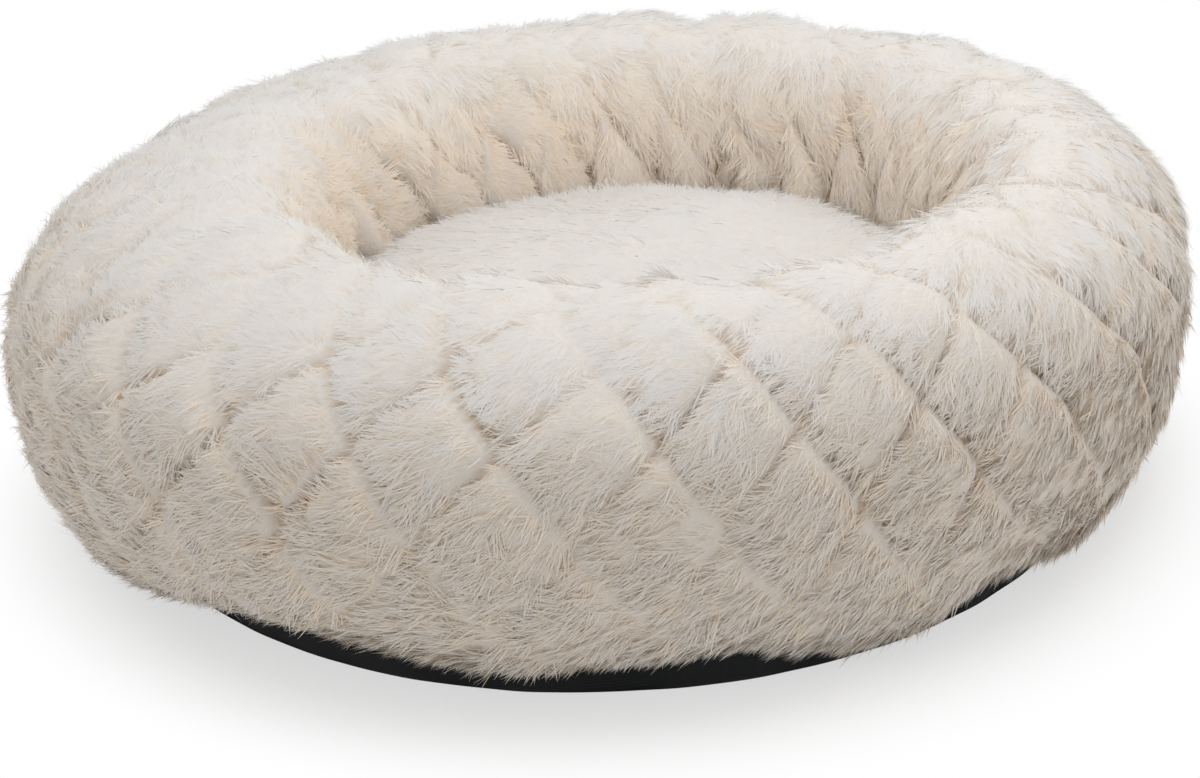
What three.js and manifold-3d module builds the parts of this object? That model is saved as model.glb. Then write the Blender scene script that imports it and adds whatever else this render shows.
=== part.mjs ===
// Round pet bed: a quilted fur ring, a loose cushion in its middle and a dark base with a zip at the back.
// Millimetres, +Z up, front towards -Y. The origin is the middle of the base, on the floor.
import * as THREE from "three";
import { mergeVertices } from "three/addons/utils/BufferGeometryUtils.js";
import Module from "manifold-3d";

const wasm = await Module();
wasm.setup();

// Ring
const outerRadius = 258;
const ovalStretch = 6;
const diagonalStretch = 9;
const ringHeight = 158;
const sideRise = 2;
const backRise = 1;
const bellyHeight = 90;
const lowerFullnessShare = 0.74;
const bolsterWidth = 128;
const ridgeReach = 46;
const throatHeight = 82;
const wallFlare = 6;
const openingShiftX = 15;
const openingShiftY = -6;

// Quilting: diamonds round the ring, and half diamonds along each of the four curves of its section
const diamondCount = 28;
const quiltRows = [3, 3, 3, 2];
const layerRows = [2, 2, 2, 1];
const quiltDepth = 8;

// Layers of the ring, from the fur inwards
const furThickness = 13;
const waddingThickness = 6;
const liningThickness = 1.5;
const softGap = 0.5;

// Base and floor of the nest
const baseThickness = 1.6;
const baseTuck = 34;
const rimHeight = 20;
const rimLean = 6;
const baseSides = 60;
const padThickness = 18;
const padRounding = 5;
const floorThickness = 1.6;

// Cushion
const cushionClearance = 4;
const cushionHeight = 80;
const cushionSeamHeight = 30;
const cushionShoulderHeight = 50;
const cushionSeamInset = 7;
const cushionFootInset = 20;
const gatherDepth = 3;
const gatherReach = 18;
const cushionSides = 36;
const crownRows = [2, 6];
const stuffingRows = [1, 4];
const seamSlopeShare = 0.35;
const crownReachShare = 0.62;
const crownDropShare = 0.92;
const undersideThickness = 1.5;

// Zip, measured along its path, up the rim and out of the rim
const zipLength = 280;
const zipHeight = 11.5;
const zipGap = 0.3;
const tapeWidth = 5;
const tapeThickness = 0.8;
const tapeSteps = 32;
const toothPitch = 6;
const toothWidth = 2.4;
const toothReach = 3.4;
const toothThickness = 2;
const toothSink = 0.2;
const cordWidth = 1.2;
const rowOffset = 3.4;
const stopLength = 3;
const stopProud = 0.5;

// Slider and pull
const sliderLength = 12;
const sliderNarrowing = 1.2;
const plateThickness = 1.8;
const lipWidth = 0.9;
const bridgeLength = 5;
const bridgeWidth = 2.4;
const bridgeBar = 1;
const bridgeHole = 2.6;
const pullLength = 19;
const pullWidth = 6;
const pullThickness = 1.2;
const pullBar = 1.2;
const pullWindow = 2.9;
const pullCorner = 2;
const joinOverrun = 0.4;

// Places that follow from the sizes
const throatRadius = outerRadius - bolsterWidth;
const ridgeRadius = throatRadius + ridgeReach;
const edgeRadius = outerRadius - baseTuck;
const floorRadius = edgeRadius - rimLean;
const edgeHeight = rimHeight + softGap;
const padBottom = baseThickness + softGap;
const floorBottom = padBottom + padThickness + softGap;
const wallFootHeight = floorBottom + floorThickness + softGap;
const wallFootRadius = throatRadius + wallFlare;
const waddingInset = furThickness + softGap;
const liningInset = waddingInset + waddingThickness + softGap;
const fillingInset = liningInset + liningThickness + softGap;
const padRadius = wallFootRadius + fillingInset - softGap;
const cushionRadius = throatRadius - cushionClearance;
const ringColumns = 2 * diamondCount;
const slantLength = Math.hypot(rimLean, rimHeight);
const zipRadius = floorRadius + rimLean * zipHeight / slantLength;
const zipStartAngle = Math.PI / 2 - zipLength / 2 / zipRadius;
const toothTop = zipGap + toothThickness;
const plateBottom = toothTop + zipGap;
const plateTop = plateBottom + plateThickness;

const furIvory = { color: "#efe6d8", roughness: 0.95, metalness: 0 };
const waddingWhite = { color: "#f4f2ec", roughness: 1, metalness: 0 };
const liningCream = { color: "#e6dfd0", roughness: 0.9, metalness: 0 };
const baseBlack = { color: "#17191b", roughness: 0.85, metalness: 0 };
const tapeBlack = { color: "#1d1f22", roughness: 0.8, metalness: 0 };
const toothBlack = { color: "#2a2c2f", roughness: 0.45, metalness: 0 };
const sliderGrey = { color: "#55585c", roughness: 0.35, metalness: 0.9 };

const bed = new THREE.Group();
const nest = new THREE.Group();
nest.position.set(openingShiftX, openingShiftY, 0);
bed.add(nest);

function addPiece(parent, name, geometry, finish) {
  const mesh = new THREE.Mesh(geometry, new THREE.MeshStandardMaterial(finish));
  mesh.name = name;
  parent.add(mesh);
  return mesh;
}

// Solids joined and cut

function toSolid(geometry) {
  const bare = geometry.clone();
  bare.deleteAttribute("normal");
  bare.deleteAttribute("uv");
  const merged = mergeVertices(bare);
  const vertProperties = new Float32Array(merged.attributes.position.array);
  const triVerts = new Uint32Array(merged.index.array);
  return new wasm.Manifold(new wasm.Mesh({ numProp: 3, vertProperties, triVerts }));
}

function toGeometry(solid) {
  const mesh = solid.getMesh();
  const geometry = new THREE.BufferGeometry();
  geometry.setAttribute("position", new THREE.BufferAttribute(mesh.vertProperties, 3));
  geometry.setIndex(new THREE.BufferAttribute(mesh.triVerts, 1));
  geometry.computeVertexNormals();
  return geometry;
}

function joinGeometries(geometries) {
  return toGeometry(geometries.map(toSolid).reduce((whole, next) => whole.add(next)));
}

// Ring: the section starts at the seam with the base, goes up the outside, over the ridge and down to the nest

function outerRadiusAt(angle) {
  return outerRadius + ovalStretch * Math.cos(2 * angle) + diagonalStretch * Math.sin(2 * angle);
}

function sectionCurves(angle, inset) {
  const seamRadius = edgeRadius - inset;
  const outer = outerRadiusAt(angle) - inset;
  const crest = ringHeight + sideRise * Math.cos(angle) + backRise * Math.sin(angle) - inset;
  const throat = throatRadius + inset;
  const quarter = Math.PI / 2;
  const seamHeight = edgeHeight + inset;
  const bulgeStart = seamRadius + lowerFullnessShare * (outer - seamRadius);
  const bulgeEnd = bellyHeight - lowerFullnessShare * (bellyHeight - seamHeight);
  const lower = [
    new THREE.Vector2(seamRadius, seamHeight),
    new THREE.Vector2(bulgeStart, seamHeight),
    new THREE.Vector2(outer, bulgeEnd),
    new THREE.Vector2(outer, bellyHeight),
  ];
  const upper = [outer - ridgeRadius, crest - bellyHeight];
  const inner = [ridgeRadius - throat, crest - throatHeight];
  const wallStart = new THREE.Vector2(throat, throatHeight);
  const wallBend = new THREE.Vector2(throat, (throatHeight + wallFootHeight) / 2);
  const wallFoot = new THREE.Vector2(wallFootRadius + inset, wallFootHeight);
  return [
    new THREE.CubicBezierCurve(...lower),
    new THREE.EllipseCurve(ridgeRadius, bellyHeight, ...upper, 0, quarter),
    new THREE.EllipseCurve(ridgeRadius, throatHeight, ...inner, quarter, 2 * quarter),
    new THREE.QuadraticBezierCurve(wallStart, wallBend, wallFoot),
  ];
}

function sum(values) {
  return values.reduce((total, value) => total + value);
}

// Points along curves that follow each other, with so many rows on each
function pointsAlong(curves, rows) {
  const points = curves.flatMap((curve, i) => curve.getPoints(rows[i]).slice(0, -1));
  return [...points, curves[curves.length - 1].getPoint(1)];
}

// The opening sits off centre, so points slide towards it from the belly to the ridge
function placeOnRing(point, angle, inset) {
  const outer = outerRadiusAt(angle) - inset;
  const slide = THREE.MathUtils.clamp((outer - point.x) / (outer - ridgeRadius), 0, 1);
  const share = point.y < bellyHeight && point.x > ridgeRadius ? 0 : slide;
  const x = point.x * Math.cos(angle) + openingShiftX * share;
  const y = point.x * Math.sin(angle) + openingShiftY * share;
  return new THREE.Vector3(x, y, point.y);
}

function sectionPoints(angle, inset, rows) {
  const points = pointsAlong(sectionCurves(angle, inset), rows);
  return points.map((point) => placeOnRing(point, angle, inset));
}

// Outer skin of the fur: stitched where the diamonds meet, and crowned in the middle of each
function quiltedPoints(angle, column) {
  const crowned = sectionPoints(angle, 0, quiltRows);
  const stitched = sectionPoints(angle, quiltDepth, quiltRows);
  const isSeam = (row) => row === 0 || row === crowned.length - 1;
  return crowned.map((point, row) => ((column + row) % 2 === 0 && !isSeam(row) ? stitched[row] : point));
}

// Closed loops of an outer face and a face behind it, one for each column, are joined into one solid.
// Quilted diagonals follow the stitching, and all others rise the same way, so that layers nest.
function sweepRing(loopAt, outerRows, isQuilted = false) {
  const loops = [];
  for (let column = 0; column < ringColumns; column += 1) {
    loops.push(loopAt(2 * Math.PI * column / ringColumns, column));
  }
  const count = loops[0].length;
  const positions = loops.flat().flatMap((point) => point.toArray());
  const indices = [];
  for (let column = 0; column < ringColumns; column += 1) {
    const here = column * count;
    const beside = ((column + 1) % ringColumns) * count;
    for (let row = 0; row < count; row += 1) {
      const above = (row + 1) % count;
      const [a, b, c, d] = [here + row, beside + row, beside + above, here + above];
      const isOuter = row < outerRows;
      const isRising = isQuilted && isOuter ? (column + row) % 2 === 0 : isOuter;
      indices.push(...(isRising ? [a, b, c, a, c, d] : [a, b, d, b, c, d]));
    }
  }
  const geometry = new THREE.BufferGeometry();
  geometry.setAttribute("position", new THREE.Float32BufferAttribute(positions, 3));
  geometry.setIndex(indices);
  geometry.computeVertexNormals();
  return geometry;
}

function makeRingCover() {
  const loopAt = (angle, column) => {
    const back = sectionPoints(angle, furThickness, quiltRows).reverse();
    return [...quiltedPoints(angle, column), ...back];
  };
  return sweepRing(loopAt, sum(quiltRows), true);
}

function makeRingWadding() {
  const loopAt = (angle) => {
    const back = sectionPoints(angle, liningInset - softGap, layerRows).reverse();
    return [...sectionPoints(angle, waddingInset, quiltRows), ...back];
  };
  return sweepRing(loopAt, sum(quiltRows));
}

function makeRingLining() {
  const loopAt = (angle) => {
    const back = sectionPoints(angle, fillingInset - softGap, layerRows).reverse();
    return [...sectionPoints(angle, liningInset, layerRows), ...back];
  };
  return sweepRing(loopAt, sum(layerRows));
}

// The filling closes on itself: down inside the layers, along the base and up inside the rim
function makeRingFilling() {
  const rimInside = edgeRadius - baseThickness - softGap;
  const loopAt = (angle) => {
    const skin = sectionPoints(angle, fillingInset, layerRows);
    const underside = [
      new THREE.Vector2(wallFootRadius + fillingInset, padBottom),
      new THREE.Vector2(rimInside - rimLean, padBottom),
      new THREE.Vector2(rimInside, rimHeight),
    ];
    return [...skin, ...underside.map((point) => placeOnRing(point, angle, fillingInset))];
  };
  return sweepRing(loopAt, sum(layerRows));
}

// Round pieces: an outline of radius and height turned about the vertical axis

function turnOutline(outline, sides) {
  const geometry = new THREE.LatheGeometry(outline, sides);
  geometry.rotateX(Math.PI / 2);
  return geometry;
}

function makeBasePanel() {
  return turnOutline([
    new THREE.Vector2(0, 0),
    new THREE.Vector2(floorRadius, 0),
    new THREE.Vector2(edgeRadius, rimHeight),
    new THREE.Vector2(edgeRadius - baseThickness, rimHeight),
    new THREE.Vector2(floorRadius - baseThickness, baseThickness),
    new THREE.Vector2(0, baseThickness),
  ], baseSides);
}

function makeBasePad() {
  const padTop = padBottom + padThickness;
  return turnOutline([
    new THREE.Vector2(0, padBottom),
    new THREE.Vector2(padRadius - padRounding, padBottom),
    new THREE.Vector2(padRadius, padBottom + padRounding),
    new THREE.Vector2(padRadius, padTop - padRounding),
    new THREE.Vector2(padRadius - padRounding, padTop),
    new THREE.Vector2(0, padTop),
  ], ringColumns);
}

function makeWellFloor() {
  return turnOutline([
    new THREE.Vector2(0, floorBottom),
    new THREE.Vector2(padRadius, floorBottom),
    new THREE.Vector2(padRadius, floorBottom + floorThickness),
    new THREE.Vector2(0, floorBottom + floorThickness),
  ], ringColumns);
}

// Cushion: a crowned fur top and a woven underside that meet at a drawn-in seam, low on the side

function cushionTopOutline(inset, rows) {
  const radius = cushionRadius - inset;
  const top = wallFootHeight + cushionHeight - inset;
  const shoulder = wallFootHeight + cushionShoulderHeight;
  const seam = wallFootHeight + cushionSeamHeight;
  const shoulderTop = wallFootHeight + (cushionHeight - inset) * crownDropShare;
  const side = new THREE.QuadraticBezierCurve(
    new THREE.Vector2(radius - cushionSeamInset, seam),
    new THREE.Vector2(radius, seam + (shoulder - seam) * seamSlopeShare),
    new THREE.Vector2(radius, shoulder),
  );
  const crown = new THREE.CubicBezierCurve(
    new THREE.Vector2(radius, shoulder),
    new THREE.Vector2(radius, shoulderTop),
    new THREE.Vector2(radius * crownReachShare, top),
    new THREE.Vector2(0, top),
  );
  return pointsAlong([side, crown], rows);
}

function cushionBaseOutline(inset) {
  const seamRadius = cushionRadius - cushionSeamInset - inset;
  const seam = wallFootHeight + cushionSeamHeight - softGap;
  const bottom = wallFootHeight + inset;
  const foot = new THREE.Vector2(cushionRadius - cushionFootInset - inset, bottom);
  const bottomCurve = new THREE.LineCurve(new THREE.Vector2(0, bottom), foot);
  const corner = new THREE.Vector2(seamRadius, bottom);
  const sideCurve = new THREE.QuadraticBezierCurve(foot, corner, new THREE.Vector2(seamRadius, seam));
  return pointsAlong([bottomCurve, sideCurve], stuffingRows);
}

// The seam gathers the fur, so the outer skin is drawn in next to it on every second side
function gatherSeam(geometry, pointCount, firstOuter) {
  const seam = wallFootHeight + cushionSeamHeight;
  const spots = geometry.attributes.position;
  for (let i = 0; i < spots.count; i += 1) {
    const isDrawn = i % pointCount >= firstOuter && Math.floor(i / pointCount) % 2 === 1;
    const nearness = Math.max(0, 1 - (spots.getZ(i) - seam) / gatherReach);
    const factor = isDrawn ? 1 - nearness * gatherDepth / cushionRadius : 1;
    spots.setXY(i, spots.getX(i) * factor, spots.getY(i) * factor);
  }
  geometry.computeVertexNormals();
  return geometry;
}

function makeCushionTop() {
  const inside = cushionTopOutline(furThickness, stuffingRows).reverse();
  const outline = [...inside, ...cushionTopOutline(0, crownRows)];
  return gatherSeam(turnOutline(outline, cushionSides), outline.length, inside.length);
}

function makeCushionBase() {
  const inside = cushionBaseOutline(undersideThickness).reverse();
  return turnOutline([...cushionBaseOutline(0), ...inside], cushionSides);
}

function makeCushionFilling() {
  const lower = cushionBaseOutline(undersideThickness + softGap);
  const upper = cushionTopOutline(furThickness + softGap, stuffingRows);
  return turnOutline([...lower, ...upper], cushionSides);
}

// Zip: pieces are drawn flat, x along the zip, y up the rim and z out of it, then wrapped on the rim

function rimFrame(along) {
  const angle = zipStartAngle + along / zipRadius;
  const outward = new THREE.Vector3(Math.cos(angle), Math.sin(angle), 0);
  const upward = new THREE.Vector3(0, 0, 1);
  const slope = outward.clone().multiplyScalar(rimLean).addScaledVector(upward, rimHeight).normalize();
  const tangent = new THREE.Vector3(-Math.sin(angle), Math.cos(angle), 0);
  const normal = tangent.clone().cross(slope);
  const foot = outward.multiplyScalar(floorRadius);
  return new THREE.Matrix4().makeBasis(tangent, slope, normal).setPosition(foot);
}

function wrapOnRim(geometry) {
  const spots = geometry.attributes.position;
  for (let i = 0; i < spots.count; i += 1) {
    const spot = new THREE.Vector3(0, spots.getY(i), spots.getZ(i));
    spot.applyMatrix4(rimFrame(spots.getX(i)));
    spots.setXYZ(i, spot.x, spot.y, spot.z);
  }
  geometry.computeVertexNormals();
  return geometry;
}

// A block given by its three spans, each [from, to]
function makeBlock(along, up, out, steps = 1) {
  const size = (span) => span[1] - span[0];
  const middle = (span) => (span[0] + span[1]) / 2;
  const block = new THREE.BoxGeometry(size(along), size(up), size(out), steps, 1, 1);
  block.translate(middle(along), middle(up), middle(out));
  return block;
}

// side is -1 for the lower tape or row and 1 for the upper
function spanFromMiddle(side, near, far) {
  const ends = [zipHeight + side * near, zipHeight + side * far];
  return side < 0 ? ends.reverse() : ends;
}

function makeTape(side) {
  const near = rowOffset + zipGap;
  const up = spanFromMiddle(side, near, near + tapeWidth);
  return wrapOnRim(makeBlock([0, zipLength], up, [zipGap, zipGap + tapeThickness], tapeSteps));
}

// A row of teeth on its cord; the two rows stand half a pitch apart and mesh
function makeToothRow(side) {
  const cordOut = [zipGap, toothTop];
  const toothOut = [zipGap + toothSink, toothTop - toothSink];
  const rowStart = stopLength + zipGap;
  const rowEnd = zipLength - rowStart;
  const cordUp = spanFromMiddle(side, rowOffset - cordWidth, rowOffset);
  const toothUp = spanFromMiddle(side, rowOffset - cordWidth / 2 - toothReach, rowOffset - cordWidth / 2);
  const pieces = [wrapOnRim(makeBlock([rowStart, rowEnd], cordUp, cordOut, tapeSteps))];
  const firstTooth = rowStart + (side < 0 ? toothWidth : toothWidth + toothPitch / 2);
  for (let along = firstTooth; along + toothWidth < rowEnd; along += toothPitch) {
    const toothAlong = [along - toothWidth / 2, along + toothWidth / 2];
    pieces.push(wrapOnRim(makeBlock(toothAlong, toothUp, toothOut)));
  }
  return joinGeometries(pieces);
}

function makeStop(start) {
  const up = [zipHeight - rowOffset, zipHeight + rowOffset];
  return wrapOnRim(makeBlock([start, start + stopLength], up, [zipGap, toothTop + stopProud]));
}

// The slider is drawn with x and y from its middle: a plate, two lips beside the teeth and a bridge for the pull
function makeSlider() {
  const half = sliderLength / 2;
  const wide = rowOffset + zipGap + lipWidth;
  const narrow = wide - sliderNarrowing;
  const outline = new THREE.Shape();
  outline.moveTo(-half, -narrow);
  outline.quadraticCurveTo(0, -narrow, bridgeLength / 2, -wide);
  outline.lineTo(half, -wide);
  outline.lineTo(half, wide);
  outline.lineTo(bridgeLength / 2, wide);
  outline.quadraticCurveTo(0, narrow, -half, narrow);
  outline.closePath();
  const plate = new THREE.ExtrudeGeometry(outline, { depth: plateThickness, bevelEnabled: false, curveSegments: 4 });
  plate.translate(0, 0, plateBottom);
  const lipOut = [zipGap + tapeThickness + zipGap, plateBottom + joinOverrun];
  const lips = [-1, 1].map((side) => {
    const up = side < 0 ? [-wide, -wide + lipWidth] : [wide - lipWidth, wide];
    return makeBlock([bridgeLength / 2, half], up, lipOut);
  });
  return joinGeometries([plate, ...lips, makeBridge()]);
}

function makeBridge() {
  const half = bridgeLength / 2;
  const inner = half - bridgeBar;
  const arch = new THREE.Shape();
  arch.moveTo(-half, 0);
  arch.lineTo(-inner, 0);
  arch.lineTo(-inner, bridgeHole + joinOverrun);
  arch.lineTo(inner, bridgeHole + joinOverrun);
  arch.lineTo(inner, 0);
  arch.lineTo(half, 0);
  arch.lineTo(half, bridgeHole + joinOverrun);
  arch.lineTo(inner, bridgeHole + joinOverrun + bridgeBar);
  arch.lineTo(-inner, bridgeHole + joinOverrun + bridgeBar);
  arch.lineTo(-half, bridgeHole + joinOverrun);
  arch.closePath();
  const bridge = new THREE.ExtrudeGeometry(arch, { depth: bridgeWidth, bevelEnabled: false });
  bridge.rotateX(Math.PI / 2);
  bridge.translate(0, bridgeWidth / 2, plateTop - joinOverrun);
  return bridge;
}

// The pull hangs on the bridge by its end bar and lies back along the zip
function makePull() {
  const half = pullWidth / 2;
  const bar = pullBar / 2;
  const outline = new THREE.Shape();
  outline.moveTo(bar, -half);
  outline.lineTo(bar, half);
  outline.lineTo(pullCorner - pullLength, half);
  outline.quadraticCurveTo(-pullLength, half, -pullLength, half - pullCorner);
  outline.lineTo(-pullLength, pullCorner - half);
  outline.quadraticCurveTo(-pullLength, -half, pullCorner - pullLength, -half);
  outline.closePath();
  const tab = new THREE.ExtrudeGeometry(outline, { depth: pullThickness, bevelEnabled: false, curveSegments: 4 });
  tab.translate(0, 0, -pullThickness / 2);
  const windowHalf = bridgeWidth / 2 + zipGap;
  const window = makeBlock([-bar - pullWindow, -bar], [-windowHalf, windowHalf], [-pullThickness, pullThickness]);
  return toGeometry(toSolid(tab).subtract(toSolid(window)));
}

addPiece(bed, "ring_cover", makeRingCover(), furIvory);
addPiece(bed, "ring_quilt_wadding", makeRingWadding(), waddingWhite);
addPiece(bed, "ring_quilt_lining", makeRingLining(), liningCream);
addPiece(bed, "ring_filling", makeRingFilling(), waddingWhite);
addPiece(bed, "base_panel", makeBasePanel(), baseBlack);
addPiece(nest, "base_pad", makeBasePad(), waddingWhite);
addPiece(nest, "well_floor_panel", makeWellFloor(), liningCream);
addPiece(nest, "cushion_cover_top", makeCushionTop(), furIvory);
addPiece(nest, "cushion_cover_base", makeCushionBase(), liningCream);
addPiece(nest, "cushion_filling", makeCushionFilling(), waddingWhite);

addPiece(bed, "zip_tape_lower", makeTape(-1), tapeBlack);
addPiece(bed, "zip_tape_upper", makeTape(1), tapeBlack);
addPiece(bed, "zip_teeth_lower", makeToothRow(-1), toothBlack);
addPiece(bed, "zip_teeth_upper", makeToothRow(1), toothBlack);
addPiece(bed, "zip_bottom_stop", makeStop(0), toothBlack);
addPiece(bed, "zip_top_stop", makeStop(zipLength - stopLength), toothBlack);

// The zip is closed at rest, with the slider against the top stop
const runner = new THREE.Group();
const runnerPlace = rimFrame(zipLength - stopLength - zipGap - sliderLength / 2);
runnerPlace.decompose(runner.position, runner.quaternion, runner.scale);
runner.translateY(zipHeight);
bed.add(runner);
addPiece(runner, "zip_slider", makeSlider(), sliderGrey);
const pull = addPiece(runner, "zip_pull", makePull(), sliderGrey);
pull.position.z = plateTop + bridgeHole / 2;

export default bed;
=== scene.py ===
# Round pet bed: a quilted fur ring, a loose fur cushion, a dark base and a zip at the back.
# Metres, +Z up, front towards -Y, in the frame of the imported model.
import math

import bpy
import numpy as np
from mathutils import Matrix, Vector


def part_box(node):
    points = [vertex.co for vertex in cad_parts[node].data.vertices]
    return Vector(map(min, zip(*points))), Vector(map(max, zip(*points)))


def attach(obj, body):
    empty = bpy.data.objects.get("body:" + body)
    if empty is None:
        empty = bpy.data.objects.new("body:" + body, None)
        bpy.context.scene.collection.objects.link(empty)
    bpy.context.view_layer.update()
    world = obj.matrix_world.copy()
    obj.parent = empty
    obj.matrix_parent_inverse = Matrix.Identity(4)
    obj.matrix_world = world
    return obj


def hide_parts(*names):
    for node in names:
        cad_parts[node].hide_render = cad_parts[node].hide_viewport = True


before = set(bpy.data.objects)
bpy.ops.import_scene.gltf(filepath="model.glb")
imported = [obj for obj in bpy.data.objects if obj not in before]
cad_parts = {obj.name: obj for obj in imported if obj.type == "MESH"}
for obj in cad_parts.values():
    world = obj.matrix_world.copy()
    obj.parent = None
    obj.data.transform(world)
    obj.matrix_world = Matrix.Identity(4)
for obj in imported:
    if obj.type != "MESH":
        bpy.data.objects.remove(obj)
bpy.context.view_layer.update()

MM = 0.001
TURN = 2 * math.pi

# Ring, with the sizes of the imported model
outer_radius = 258 * MM
oval_stretch = 6 * MM
diagonal_stretch = 9 * MM
ring_height = 158 * MM
side_rise = 2 * MM
back_rise = 1 * MM
belly_height = 90 * MM
lower_fullness_share = 0.74
bolster_width = 128 * MM
ridge_reach = 46 * MM
throat_height = 82 * MM
wall_flare = 6 * MM
seam_gap = 0.5 * MM
diamond_count = 28
diamond_rows = (0.1, 1.6, 3.1, 4.6, 5.6)
diamond_shift = -0.3
falling_share = 0.88
seam_share = 0.32

# Ring cover: the woven back of the fur lies this far below the tips of the pile
pile_height = 3 * MM
edge_pile_height = 2 * MM
sag_depth = 12 * MM
stitch_depth = 5 * MM
puff_height = 4 * MM
lump_height = 5.5 * MM
throat_fullness = 3.5 * MM
ridge_calm = 0.6
lower_calm = 0.65
fold_drift = 0.35
gather_depth = 8 * MM
pattern_drift = 0.12

# Cushion
cushion_foot_inset = 13 * MM
shoulder_drop = 13 * MM
cushion_pile = 3 * MM
lobe_count = 9
lobe_turn = 0.6
lobe_depth = 2.5 * MM
crown_wave = 3 * MM
wave_size = 70 * MM
ripple_size = 32 * MM
underside_lift = 1.2 * MM

# Fur strands
strand_length = 15 * MM
fringe_length = 12 * MM
cushion_fur_length = 12 * MM
rim_fur_length = 6 * MM
strand_width = 0.5 * MM
cushion_width_share = 0.9
root_depth = 1 * MM
clump_spread = 1.8 * MM
strands_in_clump = 11
ring_clumps = 38000
cushion_clumps = 8700
fringe_clumps = 3300
ring_sectors = 14
cushion_sectors = 3
fringe_sectors = 2
clump_pull = 0.7
clump_turn = 0.38
strand_turn = 0.1
seam_parting = 0.06
clump_tint = 0.09
white_from = 0.8
# Painted shade: how warm the skin is made on the lower and inner walls
painted_wall_shade = 0.28
normal_softness = 4
form_weight = 1.3
strand_lift = np.radians(17)
strand_bend = np.radians(22)
ridge_lift = np.radians(2)
crossing_share = 0.32
length_range = (0.75, 1.12)
width_range = (0.5, 1.3)
width_shares = (1, 0.95, 0.7)
clump_lift_spread = 0.07
strand_lift_spread = 0.06
strand_bend_spread = 0.07
curl_spread = 0.1
twist_spread = 0.32
pull_growth = 1.6
least_round = 4 * MM

# How far the lower edge sags over the base: at these places in degrees, its share of the full sag
sag_turns = (-180, -144, -135, -127, -113, -106, -98, -92, -76, -66, -57, -51, -45, -36, 0, 40, 140)
sag_shares = (0.8, 0.9, 0.3, -0.25, -0.2, 0.3, 0.4, 0.1, 0.1, 0.9, 1, 0.25, 0.2, 0.9, 0.7, 0.7, 0.7)

# A strand is two quads and a triangle. Its map holds the tint across and the height up.
strand_steps = 3
strand_corners = 7
face_corners = (0, 1, 3, 2, 2, 3, 5, 4, 4, 5, 6)
face_starts = (0, 4, 8)
corner_sides = (-1, 1, 1, -1, -1, 1, 1, -1, -1, 1, 0)
corner_steps = (0, 0, 1, 1, 1, 1, 2, 2, 2, 2, 3)
map_half_width = 0.006
map_height = 0.98
map_foot = 0.01

# Base
rim_lean = 6 * MM
rim_ripple = 1.8 * MM
rim_draw = 0.3 * MM
rim_steps = (3, 6)
base_thickness = 0.8 * MM
base_fold = 1 * MM
base_middle = (1 * MM, 0.4 * MM)
base_dip = 0.2 * MM
rim_insets = (0.3 * MM, 0.5 * MM)
zip_half_angle = np.radians(39)
zip_clearing = np.radians(28)

# Floor of the nest
well_edge_gap = 1 * MM
well_start = 0.5 * MM
well_drop = 0.5 * MM
well_wrinkle = 0.45 * MM
wrinkle_size = 30 * MM

# Noise round the bed: cells in a turn, cells for each step of along, and seed
pattern_noise = (17, 2, 11)
stitch_noise = (31, 3, 17)
lump_noises = ((37, 2, 14), (83, 4, 15))
fold_noise = (23, 1, 16)
gather_noise = (19, 1, 12)
sag_noise = (37, 1, 13)
nap_noises = ((31, 3, 31), (83, 8, 32))
fringe_noise = (47, 1, 34)
tint_noise = (23, 2, 41)
rim_noises = ((90, 1, 61), (33, 1, 62))

# Noise over the plan: its cells each way, how far it is shifted, and its seeds
plan_cells = 64
plan_shift = 20
wave_seed = 21
ripple_seed = 22
wrinkle_seed = 71
crown_cells = 32
crown_shift = 9
crown_scales = (1.7, 6)
crown_seeds = (51, 52)

# Seeds of the three coats
ring_seed = 3
fringe_seed = 4
cushion_seed = 5

# Where along the ring something sets in: 0 is its lower edge, 1 the belly, 2 the ridge, 3 the
# throat and 4 the foot of the inner wall
ring_end = 4
edge_span = (0, 0.3)
full_pile_span = (0, 0.4)
full_seam_span = (0.2, 1.2)
lower_span = (0.3, 1.1)
lump_span = (0.7, 1.6)
# Painted shade on the lower outer wall fades out over this span
under_shade_span = (0.9, 2)
ridge_start = (1.3, 1.9)
ridge_end = (2.3, 2.9)
gather_span = (2.3, 3.2)
throat_span = (2.4, 3.1)
# Painted shade on the inner wall sets in over this span
inner_shade_span = (2, 2.7)
# Painted shade deep down the inner wall sets in over this span
deep_shade_span = (3, 3.7)
sag_start = (0, 0.14)
sag_end = (0.16, 0.9)
nap_turn_span = (1.6, 2.5)
nap_stir_span = (1, 1.8)
short_span = (3, 3.6)
lift_start = (1.4, 2)
lift_end = (2.2, 3)
hang_span = (0.1, 0.6)
fringe_span = (0.02, 0.3)
ring_fur_span = (0.0, 3.98)

# Where along the cushion something sets in: 0 is its foot, 1 the side seam, 2 the shoulder and 3
# the middle of the crown
cushion_end = 2.995
cushion_fur_span = (0.05, 2.99)
lobe_start = (1, 1.4)
lobe_end = (2, 2.5)
wave_span = (1.6, 2.2)
outward_span = (2.05, 2.6)
side_nap_span = (1.7, 2.1)
rim_start = (1.2, 1.7)
rim_end = (2.1, 2.5)
# Painted shade on the cushion's side fades out over this span
side_shade_span = (1.4, 2)

# Columns and rows of each mesh
ring_grid = (448, 161)
base_grid = (360, 41)
well_grid = (120, 40)
cushion_grid = (180, 90)
underside_grid = (180, 20)
underside_start = 0.005
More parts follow.
